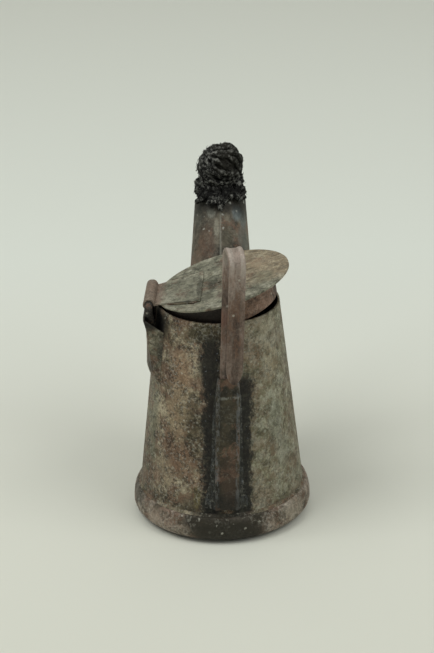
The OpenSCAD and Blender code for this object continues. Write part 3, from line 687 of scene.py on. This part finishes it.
def yarn_tree(settings, material):
    """Geometry nodes that lay a twisted two-ply yarn along each line of a mesh."""
    tree, given = wool_tree("Yarns", {"Radius": settings.strand, "Twist": settings.twist})
    line = add(tree, "GeometryNodeMeshToCurve", {"Mesh": given["Geometry"]})
    way = add(tree, "GeometryNodeSplineParameter").node.outputs
    twist = add(tree, "ShaderNodeMath", {0: way["Length"], 1: given["Twist"]},
                operation="MULTIPLY")
    turned = add(tree, "GeometryNodeSetCurveTilt", {"Curve": line, "Tilt": twist})
    middle = add(tree, "ShaderNodeMath", {0: way["Factor"], 1: 0.5}, operation="SUBTRACT")
    ends = add(tree, "ShaderNodeMapRange", {
        "Value": add(tree, "ShaderNodeMath", {0: middle}, operation="ABSOLUTE"),
        "From Min": 0.42, "From Max": 0.5, "To Min": 1.0, "To Max": 0.6})
    uneven = add(tree, "ShaderNodeMapRange", {
        "Value": add(tree, "ShaderNodeTexNoise", {"Scale": 900.0, "Detail": 2.0}, "Fac"),
        "From Min": 0.3, "From Max": 0.7, "To Min": 0.75, "To Max": 1.25})
    ply = add(tree, "GeometryNodeCurvePrimitiveCircle", {
        "Resolution": 9, "Radius": given["Radius"]})
    flat = add(tree, "GeometryNodeTransform", {"Geometry": ply, "Scale": (1.2, 0.8, 1.0)})
    yarn = add(tree, "GeometryNodeCurveToMesh", {
        "Curve": turned, "Profile Curve": flat, "Fill Caps": True,
        "Scale": add(tree, "ShaderNodeMath", {0: ends, 1: uneven}, operation="MULTIPLY")})
    return close_tree(tree, yarn, material)


def curl_tree(name, material, density, radius, thread, sweep, steps, sides, seed):
    """Geometry nodes that stand small curls of thread on a surface."""
    tree, given = wool_tree(name, {
        "Density": density, "Curl radius": radius, "Thread radius": thread, "Seed": seed})
    points = add(tree, "GeometryNodeDistributePointsOnFaces", {
        "Mesh": given["Geometry"], "Density": given["Density"], "Seed": given["Seed"]}, "Points")
    arc = add(tree, "GeometryNodeCurveArc", {
        "Resolution": steps, "Radius": given["Curl radius"], "Sweep Angle": sweep})
    ring = add(tree, "GeometryNodeCurvePrimitiveCircle", {
        "Resolution": sides, "Radius": given["Thread radius"]})
    curl = add(tree, "GeometryNodeCurveToMesh", {
        "Curve": arc, "Profile Curve": ring, "Fill Caps": True})
    spin = add(tree, "FunctionNodeRandomValue", {
        "Min": [-math.pi] * 3, "Max": [math.pi] * 3, "Seed": given["Seed"]}, "Value",
        data_type="FLOAT_VECTOR")
    size = add(tree, "FunctionNodeRandomValue", {
        "Min": 0.55, "Max": 1.2, "Seed": given["Seed"]}, "Value")
    laid = add(tree, "GeometryNodeInstanceOnPoints", {
        "Points": points, "Instance": curl, "Rotation": spin, "Scale": size})
    return close_tree(tree, laid, material)


def wool_piece(name, mesh, tree):
    """A piece of the lamp made by running a node tree on a mesh, as plain geometry."""
    piece = bpy.data.objects.new(name, mesh)
    bpy.context.scene.collection.objects.link(piece)
    step = piece.modifiers.new(tree.name, "NODES")
    step.node_group = tree
    graph = bpy.context.evaluated_depsgraph_get()
    grown = bpy.data.meshes.new_from_object(piece.evaluated_get(graph), depsgraph=graph)
    piece.modifiers.remove(step)
    piece.data = grown
    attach(piece, "lamp")
    return piece


def charred(name, settings, pale):
    """Charred cotton: matt black, ashen grey on the yarns' crowns, partly ashes and partly painted
    highlight, and some ashen grey in the grooves.
    """
    char = Shader(name, 0.6)
    crown = char.node("Attribute", {}, "Fac", attribute_name="crown")
    ash_and_sheen = char.zone(char.clouds(0.001, 4, 0.7, (1, 1, 1), 4), 0.58, soft=0.14)
    # Painted highlight: ashen grey laid on the yarns' crowns
    lit = char.either(char.product(crown, ash_and_sheen), char.product(ash_and_sheen, pale))
    brown = char.product(char.zone(char.x, 1, soft=4), char.zone(char.z, 87, soft=4), 0.4)
    fluff = char.node("Math", {0: char.clouds(0.0003, 3, 0.7, (1, 1, 1), 12), 1: 0.6, 2: ash_and_sheen},
                      operation="MULTIPLY_ADD")
    char.finish(
        Base_Color=char.layers(settings.char, (lit, settings.ash_and_sheen), (brown, "#36342b")),
        Roughness=0.7, Specular_IOR_Level=0.2,
        Normal=char.node("Bump", {"Height": fluff, "Distance": 0.0003}, "Normal"))
    return char.material


def mark_crowns(mesh, lobes):
    """Store how far each vertex stands out, from 0 in the grooves to 1 on the yarns' crowns."""
    crown, depth = 1.13, 0.13
    fringe_top, fringe_inside, fringe_depth = 2.5, 8.7, 1.4
    marks = mesh.attributes.new("crown", "FLOAT", "POINT")
    for vertex, mark in zip(mesh.vertices, marks.data):
        spot = vertex.co / MM
        out = 0.0
        for centre, half, tilt in lobes:
            local = tilt.transposed() @ (spot - centre)
            reach = Vector([c / h for c, h in zip(local, half)]).length
            out = max(out, 1 - abs(reach - crown) / depth)
        along = (spot - MOUTH).dot(SPOUT_AXIS)
        across = (spot - MOUTH - along * SPOUT_AXIS).length
        if along < fringe_top:
            out = max(out, (across - fringe_inside) / fringe_depth)
        mark.value = min(1.0, max(0.0, out))


def build_wick(settings):
    """The charred tuft of twisted yarns on the mouth, in place of its plain CAD solid."""
    rng = random.Random(settings.seed)
    # Charred cotton yarn: black, with ashen grey on its crowns, partly ashes and partly painted
    # highlight
    yarn = charred("Charred cotton yarn", settings, 0.06)
    # Singed cotton curls: the same yarn's loose wool, greyer than the yarn itself, with the same
    # painted highlight
    wool = charred("Singed cotton curls", settings, 0.12)

    # Two eggs, each a centre, half sizes and a tilt: the collar in the mouth, the knot above it
    collar = (spout_point(0, 0, 3.9), (7.1, 6.9, 4.6), Matrix.Rotation(-SPOUT_LEAN, 3, "X"))
    knot = (Vector((0.1, 45.0, 85.6)), (6.1, 5.5, 5.6),
            Matrix.Rotation(math.radians(-48), 3, "Y"))
    lines = wound_lobe(*collar, count=15, turn=1.9, spread=58, rng=rng)
    lines += wound_lobe(*knot, count=19, turn=-1.2, spread=80, rng=rng)
    lines += fringe(rng)
    paths = bmesh.new()
    for line in lines:
        row = [paths.verts.new(point * MM) for point in line]
        for a, b in zip(row, row[1:]):
            paths.edges.new((a, b))
    data = bpy.data.meshes.new("yarn_paths")
    paths.to_mesh(data)
    paths.free()
    tuft = wool_piece("charred_tuft", data, yarn_tree(settings, yarn))

    # Each egg is filled to this share of its half sizes, so nothing shows between the yarns
    filled = 0.88
    core = bmesh.new()
    for centre, half, tilt in (collar, knot):
        egg(core, centre * MM, [h * MM * filled for h in half], tilt)
    for face in core.faces:
        face.smooth = True
    core.from_mesh(tuft.data)
    core.to_mesh(tuft.data)
    core.free()
    mark_crowns(tuft.data, (collar, knot))
    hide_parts("wick_head")

    wool_piece("woolly_curls", tuft.data.copy(), curl_tree(
        "Woolly curls", wool, settings.curls, settings.curl_radius, settings.curl_thread,
        sweep=4.4, steps=7, sides=5, seed=settings.seed))
    wool_piece("loose_fibres", tuft.data.copy(), curl_tree(
        "Loose fibres", wool, settings.fibres, settings.curl_radius, settings.fibre_thread,
        sweep=1.9, steps=5, sides=3, seed=settings.seed + 1))

    # Oil-soaked cotton of the bundle: brown, matt, in strands along the spout
    cotton = Shader("Oil-soaked cotton")
    tone = cotton.clouds(0.0012, 5, 0.65, (1, 0.5, 2), 2)
    weave = cotton.clouds(0.0006, 4, 0.6, (1, 1, 3), 6)
    cotton.finish(
        Base_Color=cotton.node("ValToRGB", {0: tone}, "Color",
                               stops=((0.35, "#2a241a"), (0.55, "#564a37"), (0.7, "#776a52"))),
        Roughness=0.8, Normal=cotton.node("Bump", {"Height": weave, "Distance": 0.0003}, "Normal"))
    cotton.wear("wick_core")


def build_studio(settings):
    """Pale floor, soft light and the camera at the photograph's view."""
    # Pale matt paper: almost white, with painted shade graded along it, darker and a little warmer
    # near the camera and lightest about 0.19 m behind the lamp
    paper = Shader("Pale matt paper")
    far = paper.node("MapRange", {"Value": paper.y, "From Min": -80.0, "From Max": 560.0})
    paper.finish(Base_Color=paper.node("ValToRGB", {0: far}, "Color", stops=(
        (0.0, "#d2d4c9"), (0.2, "#d8dad0"), (0.42, "#dce1d9"), (1.0, "#d9dcd3"))),
        Roughness=0.85, Specular_IOR_Level=0.2)

    # The floor's profile: flat to the back, then bent up into a wall
    back, bend = 1.6, 0.6
    rows = [(-2.5, 0.0), (back, 0.0)]
    rows += [(back + bend * math.sin(a), bend - bend * math.cos(a))
             for a in (math.radians(9 * i) for i in range(1, 11))]
    rows.append((back + bend, 2.8))
    mesh = bmesh.new()
    lines = [[mesh.verts.new((x, y, z)) for x in (-3.0, 3.0)] for y, z in rows]
    for a, b in zip(lines, lines[1:]):
        mesh.faces.new((a[0], a[1], b[1], b[0])).smooth = True
    data = bpy.data.meshes.new("studio_floor")
    mesh.to_mesh(data)
    mesh.free()
    data.materials.append(paper.material)
    floor = bpy.data.objects.new("studio_floor", data)
    bpy.context.scene.collection.objects.link(floor)

    target = Vector((0.0, 0.0, 0.03))
    for name, power, size, place in (
            ("key_light", settings.key, 0.75, (-0.62, -0.3, 1.05)),
            ("fill_light", settings.fill, 0.75, (0.72, -0.4, 0.9)),
            ("top_light", settings.top, 1.2, (0.0, 0.35, 1.3))):
        light = bpy.data.lights.new(name, "AREA")
        light.shape = "SQUARE"
        light.size = size
        light.energy = power
        light.color = (1.0, 0.995, 0.975)
        lamp = bpy.data.objects.new(name, light)
        lamp.location = place
        aim = target - Vector(place)
        lamp.rotation_euler = aim.to_track_quat("-Z", "Y").to_euler()
        bpy.context.scene.collection.objects.link(lamp)

    world = bpy.data.worlds.new("Room")
    world.use_nodes = True
    sky = world.node_tree.nodes["Background"]
    sky.inputs["Color"].default_value = srgb("#f6f8f2")
    sky.inputs["Strength"].default_value = settings.sky
    bpy.context.scene.world = world

    ahead = CAMERA_WAY.normalized()
    right = ahead.cross(Vector((0, 0, 1))).normalized()
    above = right.cross(ahead)
    c, s = math.cos(settings.roll), math.sin(settings.roll)
    right, above = c * right - s * above, s * right + c * above
    camera = bpy.data.cameras.new("camera")
    camera.sensor_width = 36.0
    camera.lens = settings.lens
    camera.clip_start, camera.clip_end = 0.01, 20.0
    view = bpy.data.objects.new("camera", camera)
    turn = Matrix((right, above, -ahead)).transposed().to_4x4()
    view.matrix_world = Matrix.Translation(CAMERA_PLACE) @ turn
    bpy.context.scene.collection.objects.link(view)
    bpy.context.scene.camera = view
    bpy.context.scene.view_settings.view_transform = "Standard"


# Operators


class LAMP_OT_font(bpy.types.Operator):
    """Dress the font, the cup and the solder"""

    bl_idname = "lamp.font"
    bl_label = "Dress font"

    def execute(self, context):
        dress_font(context.scene.lamp_tin)
        return {"FINISHED"}


class LAMP_OT_spout(bpy.types.Operator):
    """Dress the spout"""

    bl_idname = "lamp.spout"
    bl_label = "Dress spout"

    def execute(self, context):
        dress_spout(context.scene.lamp_tin)
        return {"FINISHED"}


class LAMP_OT_hook(bpy.types.Operator):
    """Dress the hook and its cover"""

    bl_idname = "lamp.hook"
    bl_label = "Dress hook"

    def execute(self, context):
        dress_hook(context.scene.lamp_tin)
        return {"FINISHED"}


class LAMP_OT_hinge(bpy.types.Operator):
    """Dress the hinge's wire and bracket"""

    bl_idname = "lamp.hinge"
    bl_label = "Dress hinge"

    def execute(self, context):
        dress_hinge(context.scene.lamp_tin)
        return {"FINISHED"}


class LAMP_OT_lid(bpy.types.Operator):
    """Dress the lid, its strap and its skirt"""

    bl_idname = "lamp.lid"
    bl_label = "Dress lid"

    def execute(self, context):
        dress_lid(context.scene.lamp_tin)
        return {"FINISHED"}


class LAMP_OT_wick(bpy.types.Operator):
    """Build the charred tuft and dress the wick"""

    bl_idname = "lamp.wick"
    bl_label = "Build wick"

    def execute(self, context):
        build_wick(context.scene.lamp_wick)
        return {"FINISHED"}


class LAMP_OT_studio(bpy.types.Operator):
    """Build the floor, the lights and the camera"""

    bl_idname = "lamp.studio"
    bl_label = "Build studio"

    def execute(self, context):
        build_studio(context.scene.lamp_studio)
        return {"FINISHED"}


class LAMP_PT_panel(bpy.types.Panel):
    """The lamp's settings and steps"""

    bl_idname = "LAMP_PT_panel"
    bl_label = "Oil-wick lamp"
    bl_space_type = "VIEW_3D"
    bl_region_type = "UI"
    bl_category = "Lamp"

    def draw(self, context):
        scene = context.scene
        for settings, steps in ((scene.lamp_tin, ("font", "spout", "hook", "hinge", "lid")),
                                (scene.lamp_wick, ("wick",)), (scene.lamp_studio, ("studio",))):
            box = self.layout.box()
            for key in settings.__annotations__:
                box.prop(settings, key)
            for step in steps:
                box.operator("lamp." + step)


SETTINGS = {"lamp_tin": TinSettings, "lamp_wick": WickSettings, "lamp_studio": StudioSettings}
CLASSES = (TinSettings, WickSettings, StudioSettings, LAMP_OT_font, LAMP_OT_spout, LAMP_OT_hook,
           LAMP_OT_hinge, LAMP_OT_lid, LAMP_OT_wick, LAMP_OT_studio, LAMP_PT_panel)


def register():
    for cls in CLASSES:
        bpy.utils.register_class(cls)
    for name, group in SETTINGS.items():
        setattr(bpy.types.Scene, name, PointerProperty(type=group))


def unregister():
    for name in SETTINGS:
        delattr(bpy.types.Scene, name)
    for cls in reversed(CLASSES):
        bpy.utils.unregister_class(cls)


def main():
    register()
    bpy.ops.lamp.studio()
    bpy.ops.lamp.font()
    bpy.ops.lamp.spout()
    bpy.ops.lamp.hook()
    bpy.ops.lamp.hinge()
    bpy.ops.lamp.lid()
    bpy.ops.lamp.wick()
    bpy.context.view_layer.update()


if __name__ == "__main__":
    main()
